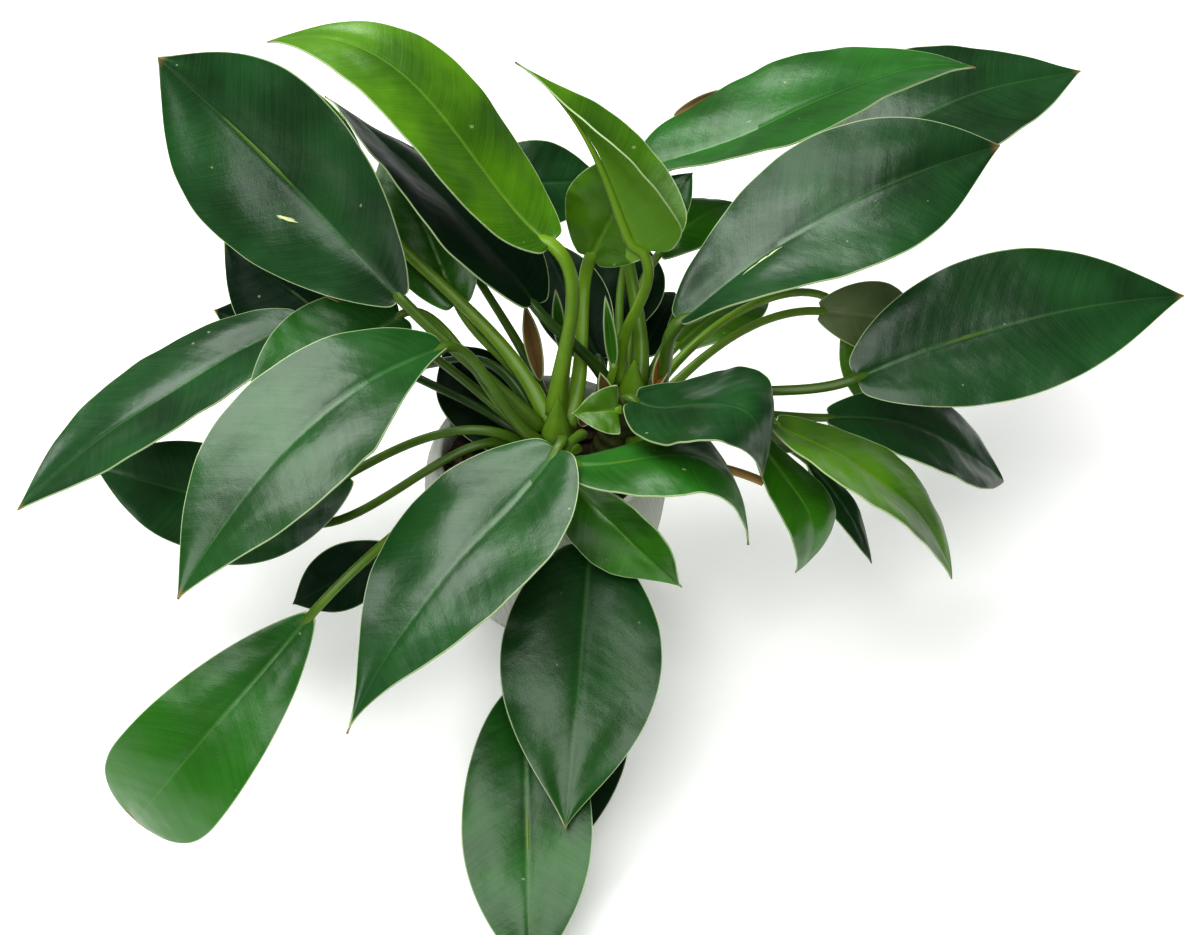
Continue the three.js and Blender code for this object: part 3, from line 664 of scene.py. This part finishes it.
def add_blade(bm, form, seed):
    """The blade as a closed sheet. Material 0 is its top, 1 its underside, 2 its rim."""
    columns, rows = LARGE_GRID if form.row["width"] >= LARGE_WIDTH else SMALL_GRID
    values = bm.verts.layers.float_vector["blade"]
    number = bm.verts.layers.float["vein"]
    fresh = bm.verts.layers.float["fresh"]
    low, high = form.row["fresh"]
    verts = bmesh.ops.create_grid(bm, x_segments=columns, y_segments=rows, size=0.5)["verts"]
    flat = np.array([v.co for v in verts])
    u = np.clip(flat[:, 0] + 0.5, 0, 1) ** CLOSER_AT_BASE
    across = np.clip(-2 * flat[:, 1], -1, 1)
    s = np.sign(across) * (1 - (1 - np.abs(across)) ** CLOSER_AT_EDGE)
    points, reach, inset = form.surface(u, s, uneven_surface(form, seed))
    move_to(verts, points)
    numbers = vein_number(u, reach, form.length)
    for i, vert in enumerate(verts):
        vert[values] = (u[i], reach[i], max(inset[i], 0))
        vert[number] = numbers[i]
        vert[fresh] = low + (high - low) * u[i]
    bmesh.ops.remove_doubles(bm, verts=verts, dist=BLADE_MERGE * MM)
    bm.normal_update()
    for vert in bm.verts:
        vert.co += vert.normal * (BLADE_THICKNESS / 2 * MM)
    top = set(bm.faces)
    bmesh.ops.solidify(bm, geom=list(top), thickness=BLADE_THICKNESS * MM)
    upper = {v for f in top for v in f.verts}
    for face in bm.faces:
        if face not in top:
            face.material_index = 2 if any(v in upper for v in face.verts) else 1


print("grid of a large blade:", LARGE_GRID)

# %% [markdown]
# ## A tapering tube
#
# The petiole and the midrib under the blade are one tapering tube. It is a second grid, rolled up round
# a row of centres so that its long edges meet, and merged there. A curve with a bevel would do it too,
# but the grid lets each ring have its own radius and a flatter top, as a petiole has. The stems and
# their buds are made in the same way.

# %% Tube mesh
TUBE_SIDES = 14
SEAM_MERGE = 0.02
END_RADIUS = 0.02
FAR_FROM_MARGIN = 50


def add_tube(bm, centres, radii, side, material, flat_top=0.0):
    """A tube round a row of centres, closed to a point at both ends."""
    count = len(centres)
    before = set(bm.faces)
    verts = bmesh.ops.create_grid(bm, x_segments=count - 1, y_segments=TUBE_SIDES, size=0.5)["verts"]
    values = bm.verts.layers.float_vector["blade"]
    flat = np.array([v.co for v in verts])
    station = np.rint((flat[:, 0] + 0.5) * (count - 1)).astype(int)
    angle = -2 * np.pi * (flat[:, 1] + 0.5)
    along = unit(np.gradient(centres, axis=0))
    sides = np.empty_like(centres)
    for i in range(count - 1, -1, -1):
        side = unit(side - along[i] * (side @ along[i]))
        sides[i] = side
    ups = np.cross(sides, along)
    squeeze = 1 - flat_top * np.maximum(np.sin(angle), 0) ** 2
    ring = sides[station] * np.cos(angle)[:, None] + ups[station] * (np.sin(angle) * squeeze)[:, None]
    move_to(verts, centres[station] + ring * radii[station][:, None])
    for i, vert in enumerate(verts):
        vert[values] = (station[i] / count, 0, FAR_FROM_MARGIN)
    bmesh.ops.remove_doubles(bm, verts=verts, dist=SEAM_MERGE * MM)
    tube = [f for f in bm.faces if f not in before]
    for face in tube:
        face.material_index = material
    bmesh.ops.recalc_face_normals(bm, faces=tube)


print("sides of a petiole:", TUBE_SIDES)

# %% [markdown]
# ## One whole leaf
#
# A leaf grows as one piece, so its blade, its petiole and its midrib are one mesh. The foot of a
# petiole is wider, because it is a sheath that once held the next young leaf. On the largest leaves it
# is much wider, and so those have a radius of their own. The midrib is laid just under the sheet.

# %% One leaf
STALK_STEPS = 26
STALK_FLATNESS = 0.25
FOOT_END = 0.5
RIB_STEPS = 22
RIB_END = 0.88
RIB_DROP = 1.0
RIB_OVERLAP = 0.85


def triangles(piece):
    """How many triangles a piece has."""
    return sum(len(face.vertices) - 2 for face in piece.data.polygons)


def finish_piece(name, bm, materials, sharp_over=50):
    """A mesh object that rides with the plant and carries its materials."""
    mesh = bpy.data.meshes.new(name)
    bm.normal_update()
    bm.to_mesh(mesh)
    bm.free()
    for material in materials:
        mesh.materials.append(material)
    mesh.polygons.foreach_set("use_smooth", [True] * len(mesh.polygons))
    mesh.set_sharp_from_angle(angle=math.radians(sharp_over))
    piece = bpy.data.objects.new(name, mesh)
    scene.collection.objects.link(piece)
    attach(piece, "root")
    return piece


def make_leaf(row, seed):
    """Petiole, midrib and blade of one leaf as one mesh, and its materials."""
    form = LeafForm(row)
    bm = new_leaf_mesh()
    if "width" in row:
        add_blade(bm, form, seed)
    centres = stalk_path(row, form, STALK_STEPS)
    t = np.linspace(0, 1, STALK_STEPS)
    at_foot, at_blade = row["girths"]
    radii = at_blade + (at_foot - at_blade) * np.maximum(1 - t / FOOT_END, 0) ** 1.5
    radii = np.concatenate([[END_RADIUS], radii])
    side = form.axes(np.array([0.0]))[2][0]
    if "width" in row:
        u = np.linspace(0, RIB_END, RIB_STEPS)[1:]
        rib = at_blade * np.maximum(1 - u / RIB_END, 0) ** 0.8 + END_RADIUS
        along, up, _ = form.axes(u)
        low = form.midrib(u) - up * (rib * RIB_OVERLAP + RIB_DROP)[:, None]
        centres = np.vstack([centres, low])
        radii = np.concatenate([radii, rib])
    else:
        centres = np.vstack([centres, centres[-1] + (centres[-1] - centres[-2]) * 0.2])
        radii = np.concatenate([radii, [END_RADIUS]])
    add_tube(bm, centres, radii, side, 3, flat_top=STALK_FLATNESS)
    # A leaf in deep shade takes the shaded finish, whose greens are painted shade
    hue = "shaded" if row["shaded"] else row["hue"]
    materials = [TOPS[hue], UNDERSIDES[hue], TOPS[hue], STALKS[hue]]
    return bm, materials


print("leaves in deep shade:", sum(row["shaded"] for row in LEAVES))

# %% [markdown]
# ## All leaves
#
# Every leaf is made from its row and takes the place of its plain solid. It isn't moved or resized for
# that, because both are made by the same form.

# %% All leaves
for seed, row in enumerate(LEAVES):
    bm, materials = make_leaf(row, seed)
    piece = finish_piece(row["name"] + "_fine", bm, materials)
    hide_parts(row["name"])
leaf_pieces = [piece for piece in scene.objects if piece.name.endswith("_fine")]
print("leaf pieces:", len(leaf_pieces), "triangles:", sum(triangles(piece) for piece in leaf_pieces))

# %% [markdown]
# ## Scraps that age leaves on the plant
#
# A real plant isn't perfect. Papery sheaths of opened leaves stay round the young stalks, an edge has
# dried and curled, and a rubbed place has healed as a pale scar. All of them are small thin sheets, so
# each is a tiny blade without a stalk, made by the same function as the leaves.

# %% Scraps
LOOSE_SCRAPS = [
    # name, base, tip, width, fold, finish
    ("sheath_left_papery", (-2, 24, 158), (-11, 47, 198), 13, 52, "dry"),
    ("sheath_left_low", (22, -2, 146), (30, 4, 168), 11, 40, "dry"),
    ("sheath_left_green", (10, 44, 165), (7, 52, 205), 9, 50, "fresh"),
    ("sheath_right_rusty", (65, 14, 162), (75, 24, 192), 11, 46, "rusty"),
    ("sheath_right_papery", (40, 6, 150), (33, 12, 176), 11, 45, "dry"),
    ("bit_right_front", (113, 11, 132), (154, 1, 122), 13, 20, "dull"),
]
ON_A_LEAF = [
    # name, leaf, place at one end, place at the other, width, lift, finish
    ("dried_edge", "leaf_left_side_small", (0.02, 0.8), (0.3, 1.0), 9, 1.5, "dry"),
    ("torn_edge", "leaf_right_back_long", (0.13, -1.0), (0.3, -1.0), 7, 0.5, "dry"),
    ("healed_scar", "leaf_left_upper_big", (0.42, -0.36), (0.345, -0.21), 2.0, 0.9, "pale"),
    ("rubbed_line", "leaf_right_upper_big", (0.2, 0.17), (0.33, 0.08), 1.2, 0.9, "pale"),
]

LOOSE_SEED = 100
LEAF_SCRAP_SEED = 200
rows_by_name = {row["name"]: row for row in LEAVES}


def make_scrap(name, base, tip, width, fold, hue, seed):
    """A small thin sheet between two points, with the finish of its hue."""
    row = dict(name=name, base=base, tip=tip, width=width, fold=fold, curl=0, lobe=0, wave=0.4)
    bm = new_leaf_mesh()
    add_blade(bm, LeafForm(row), seed)
    return finish_piece(name, bm, [TOPS[hue], UNDERSIDES[hue], TOPS[hue]])


for seed, scrap in enumerate(LOOSE_SCRAPS):
    make_scrap(*scrap, LOOSE_SEED + seed)
for seed, (name, leaf, start, end, width, lift, hue) in enumerate(ON_A_LEAF):
    form = LeafForm(rows_by_name[leaf])
    u, s = np.array([start, end]).T
    ends = form.surface(u, s, lambda u, s, share: 0 * u)[0] + form.axes(u)[1] * lift
    make_scrap(name, tuple(ends[0]), tuple(ends[1]), width, 0, hue, LEAF_SCRAP_SEED + seed)
print("scraps:", len(LOOSE_SCRAPS) + len(ON_A_LEAF))

# %% [markdown]
# ## The pot
#
# A round pot with fine upright ribs and a plain lip. It is a profile spun round the middle. The ribs are
# made afterwards by drawing every vertex of the outer wall in by its angle, which keeps them even. A
# boolean cut for each rib would be slower and leave ragged faces.

# %% Pot shape
POT_RIBS = 96
STEPS_PER_RIB = 6
RIB_DEPTH = 0.7
RIBS_TOP = 121
RIBS_FROM_RADIUS = 45
WALL_DEPTH = 2
OUTER_ROWS = 16
POT_PROFILE = [
    # height, radius, ribbed or not
    (0, 40, 0), (2, 42, 0), (8, 46.5, 1), (22, 54.2, 1), (38, 60.6, 1), (52, 65.2, 1), (66, 68.6, 1),
    (80, 71.1, 1), (92, 72.5, 1), (101, 72.2, 1), (108, 71.3, 1), (114, 70.1, 1), (118, 68.7, 0.6),
    (121, 67.6, 0.0), (123, 66.5, 0), (124.4, 65.7, 0), (125, 64.5, 0), (124.6, 62, 0), (123, 60.6, 0),
    (112, 61, 0), (80, 62, 0), (40, 54, 0), (10, 42, 0), (6.5, 38, 0), (6, 0, 0),
]


def spun(bm, outline, steps):
    """A row of (radius, height) points spun once round the upright middle line."""
    verts = [bm.verts.new((radius * MM, 0, height * MM)) for radius, height in outline]
    edges = [bm.edges.new(pair) for pair in zip(verts, verts[1:])]
    bmesh.ops.spin(bm, geom=verts + edges, cent=(0, 0, 0), axis=(0, 0, 1), dvec=(0, 0, 0),
                   angle=2 * math.pi, steps=steps, use_merge=True, use_duplicate=False)
    bmesh.ops.remove_doubles(bm, verts=bm.verts[:], dist=SEAM_MERGE * MM)
    bmesh.ops.recalc_face_normals(bm, faces=bm.faces[:])


bm = bmesh.new()
outline = [(radius, height) for height, radius, _ in POT_PROFILE]
spun(bm, [(0, 0)] + outline, POT_RIBS * STEPS_PER_RIB)
heights, wall_radii, ribbed = zip(*POT_PROFILE[:OUTER_ROWS])
for vert in bm.verts:
    across = math.hypot(vert.co.x, vert.co.y)
    height = vert.co.z / MM
    if across / MM < RIBS_FROM_RADIUS or height > RIBS_TOP:
        continue
    if across / MM < float(np.interp(height, heights, wall_radii)) - WALL_DEPTH:
        continue
    share = float(np.interp(height, heights, ribbed))
    angle = math.atan2(vert.co.y, vert.co.x)
    inward = RIB_DEPTH * MM * share * (0.5 - 0.5 * math.cos(POT_RIBS * angle))
    factor = (across - inward) / across
    vert.co.x *= factor
    vert.co.y *= factor
print("pot faces:", len(bm.faces))

# %% [markdown]
# ## The pot's finish
#
# The pot is taken for moulded plastic, left matt. That gives a soft even light without a clear
# reflection. A little dust makes the grey uneven, and a fine grit in the surface breaks it up.

# %% Pot finish
DUST_SIZE = 29
GRIT_SIZE = 1.11

pot_material, tree, shader = new_material("moulded_pot")
place = add_node(tree, "ShaderNodeTexCoord").outputs["Object"]
dust = add_node(tree, "ShaderNodeTexNoise", Vector=place, Scale=scale_for(DUST_SIZE), Detail=5.0)
shade = add_node(tree, "ShaderNodeMix", COLOURS, _0=dust.outputs["Fac"],
                 _6=colour("9fa39a"), _7=colour("c2c5bc"))
tree.links.new(shade.outputs[2], shader.inputs["Base Color"])
shader.inputs["Roughness"].default_value = 0.55
speckle = add_node(tree, "ShaderNodeTexNoise", Vector=place, Scale=scale_for(GRIT_SIZE), Detail=2.0)
bump = add_node(tree, "ShaderNodeBump", Strength=0.2, Distance=0.0002, Height=speckle.outputs["Fac"])
tree.links.new(bump.outputs["Normal"], shader.inputs["Normal"])
pot = finish_piece("pot_fine", bm, [pot_material])
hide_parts("pot")
print("pot triangles:", triangles(pot))

# %% [markdown]
# ## Soil
#
# The pot is filled with dark potting soil. It is one disc, spun as the pot was, and its top is made
# lumpy by a noise of two sizes. A bump alone would leave it flat where it is seen from the side.

# %% Soil
SOIL_TOP = 108
SOIL_FOOT = 90
SOIL_RADIUS = 60.4
SOIL_FOOT_RADIUS = 60.2
LARGE_LUMPS = 120
SMALL_LUMPS = 420
LUMP_HEIGHT = 2.2
SOIL_RINGS = 26
SOIL_STEPS = 96

bm = bmesh.new()
top_rings = [(radius, SOIL_TOP) for radius in np.linspace(0, SOIL_RADIUS, SOIL_RINGS)]
spun(bm, top_rings + [(SOIL_FOOT_RADIUS, SOIL_FOOT), (0, SOIL_FOOT)], SOIL_STEPS)
for vert in bm.verts:
    if vert.co.z / MM > SOIL_TOP - 1:
        lumps = noise.noise(vert.co * LARGE_LUMPS) * LUMP_HEIGHT + noise.noise(vert.co * SMALL_LUMPS)
        vert.co.z += lumps * MM

# Damp crumbs: no gloss at all, and two browns that differ from crumb to crumb
soil_material, _ = mottled_material("potting_soil", "17110c", "40301f", size=3.33, detail=6.0,
                                    rough=0.95, relief=0.8, depth=1)
soil = finish_piece("soil_fine", bm, [soil_material])
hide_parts("soil")
print("soil triangles:", triangles(soil))

# %% [markdown]
# ## Mulch
#
# A loose layer of bark chips covers the soil. The chips are small blocks, each squashed, turned and
# roughened by a seeded draw, and joined in one mesh. At this size a block of six faces is enough.

# %% Mulch
CHIP_COUNT = 260
MULCH_RADIUS = 58
CHIP_UNEVENNESS = 0.8

# Dry bark: brown in patches as wide as a chip, and rough with short fibres
bark_material, _ = mottled_material("bark_chips", "1c140e", "4d3a28", size=7.1, detail=5.0,
                                    rough=0.85, relief=0.6, depth=0.6)

draw = random.Random(5)
bm = bmesh.new()
for _ in range(CHIP_COUNT):
    angle, distance = draw.uniform(0, 2 * math.pi), MULCH_RADIUS * math.sqrt(draw.random())
    place_chip = Matrix.Translation(Vector((math.cos(angle) * distance, math.sin(angle) * distance,
                                            SOIL_TOP + draw.uniform(0.5, 2.5))) * MM)
    tilt = Matrix.Rotation(draw.uniform(0, 2 * math.pi), 4, "Z") @ Matrix.Rotation(
        draw.uniform(-0.5, 0.5), 4, "X") @ Matrix.Rotation(draw.uniform(-0.4, 0.4), 4, "Y")
    size = Matrix.Diagonal((draw.uniform(5, 13) * MM, draw.uniform(3, 7) * MM,
                            draw.uniform(1.5, 3) * MM, 1))
    verts = bmesh.ops.create_cube(bm, size=1, matrix=place_chip @ tilt @ size)["verts"]
    for vert in verts:
        vert.co += Vector([draw.uniform(-CHIP_UNEVENNESS, CHIP_UNEVENNESS) for _ in range(3)]) * MM
chips = finish_piece("bark_mulch", bm, [bark_material], sharp_over=20)
print("mulch triangles:", triangles(chips))

# %% [markdown]
# ## The stems and their buds
#
# Two short thick stems carry all the petioles. Old leaves leave ring scars on them. Each is a tube with
# rings that swell and pinch along it, so it is the same rolled grid as a petiole, with other radii. A
# green bud, out of which the next leaf comes, tapers up from the top of each.

# %% Stems
SCAR_SPACING = 7
SCAR_DEPTH = 0.5
SUNK_SHARE = 0.25
SUNK_STRETCH = 60
STEM_TOP_SHARE = 1.06
STEM_STEPS = 60
BUD_STEPS = 16
BUD_LEAN = (0.05, 0.02, 1.0)
BUD_FOOT = -6
BUD_HEIGHT = 24
SIDEWAYS = np.array([1.0, 0, 0])

# Living bark: brown and green in patches, dull, and rough with old scars
stem_material, _ = mottled_material("scarred_stem", "2a2210", "5c6a2c", size=9, detail=5.0,
                                    rough=0.7, relief=0.5, depth=0.8)

for name, stem in STEMS.items():
    low, high = np.array(stem["foot"], float), np.array(stem["crown"], float)
    shares = np.linspace(-SUNK_SHARE, STEM_TOP_SHARE, STEM_STEPS)
    centres = low + (high - low) * np.maximum(shares, 0)[:, None]
    centres[:, 2] += np.minimum(shares, 0) * SUNK_STRETCH
    wide, narrow = stem["radii"]
    radii = wide + (narrow - wide) * np.clip(shares, 0, 1)
    radii = radii - SCAR_DEPTH + SCAR_DEPTH * np.cos(2 * np.pi * centres[:, 2] / SCAR_SPACING)
    radii[shares > 1] *= np.linspace(0.95, 0.4, int((shares > 1).sum()))
    radii[0], radii[-1] = END_RADIUS, END_RADIUS
    bm = bmesh.new()
    bm.verts.layers.float_vector.new("blade")
    add_tube(bm, centres, radii, SIDEWAYS, 0)
    piece = finish_piece(f"stem_{name}_fine", bm, [stem_material])
    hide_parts(f"stem_{name}")

    bm = bmesh.new()
    bm.verts.layers.float_vector.new("blade")
    rise = np.linspace(BUD_FOOT, BUD_HEIGHT, BUD_STEPS)
    centres = high + np.outer(rise, BUD_LEAN)
    radii = narrow * np.clip((BUD_HEIGHT - rise) / (BUD_HEIGHT + 2), 0.02, 1) ** 0.8
    add_tube(bm, centres, radii, SIDEWAYS, 0)
    finish_piece(f"crown_bud_{name}", bm, [STALKS["fresh"]])
print("stems:", len(STEMS))

# %% [markdown]
# ## Floor and light
#
# The plant stands on a plain white floor under soft studio light: one large softbox overhead, which
# gives the waxy leaves their broad silvery sheen, a weaker one from the front, and a little light from
# all round. Brighter lamps would wash out the greens before the floor turns white, so the floor gives
# off a little light of its own instead.

# %% Floor
FLOOR_HALF = 6
FLOOR_GLOW = 0.24

bm = bmesh.new()
bmesh.ops.create_grid(bm, x_segments=1, y_segments=1, size=FLOOR_HALF)
mesh = bpy.data.meshes.new("floor")
bm.to_mesh(mesh)
bm.free()
floor = bpy.data.objects.new("floor", mesh)
scene.collection.objects.link(floor)
floor_material, tree, shader = new_material("white_floor")
shader.inputs["Base Color"].default_value = colour("f4f4f2")
shader.inputs["Emission Color"].default_value = colour("ffffff")
shader.inputs["Emission Strength"].default_value = FLOOR_GLOW
shader.inputs["Roughness"].default_value = 0.9
mesh.materials.append(floor_material)
print("floor:", 2 * FLOOR_HALF, "m wide")

# %% Lights
AIM = (0, 0, 0.15)
ROOM_LIGHT = 0.14


def softbox(name, place, size, watts):
    """A square area light turned towards the plant."""
    data = bpy.data.lights.new(name, "AREA")
    data.shape = "SQUARE"
    data.size = size
    data.energy = watts
    lamp = bpy.data.objects.new(name, data)
    lamp.location = place
    lamp.rotation_euler = (Vector(AIM) - Vector(place)).to_track_quat("-Z", "Y").to_euler()
    scene.collection.objects.link(lamp)


softbox("overhead", (-0.45, 0.45, 1.45), 1.1, 27)
softbox("front", (-0.15, -0.85, 1.5), 1.2, 20)
world = bpy.data.worlds.new("studio")
world.use_nodes = True
background = world.node_tree.nodes["Background"]
background.inputs["Color"].default_value = colour("ffffff")
background.inputs["Strength"].default_value = ROOM_LIGHT
scene.world = world
scene.view_settings.view_transform = "Standard"
scene.view_settings.look = "Medium High Contrast"
print("lights: overhead, front and the room")
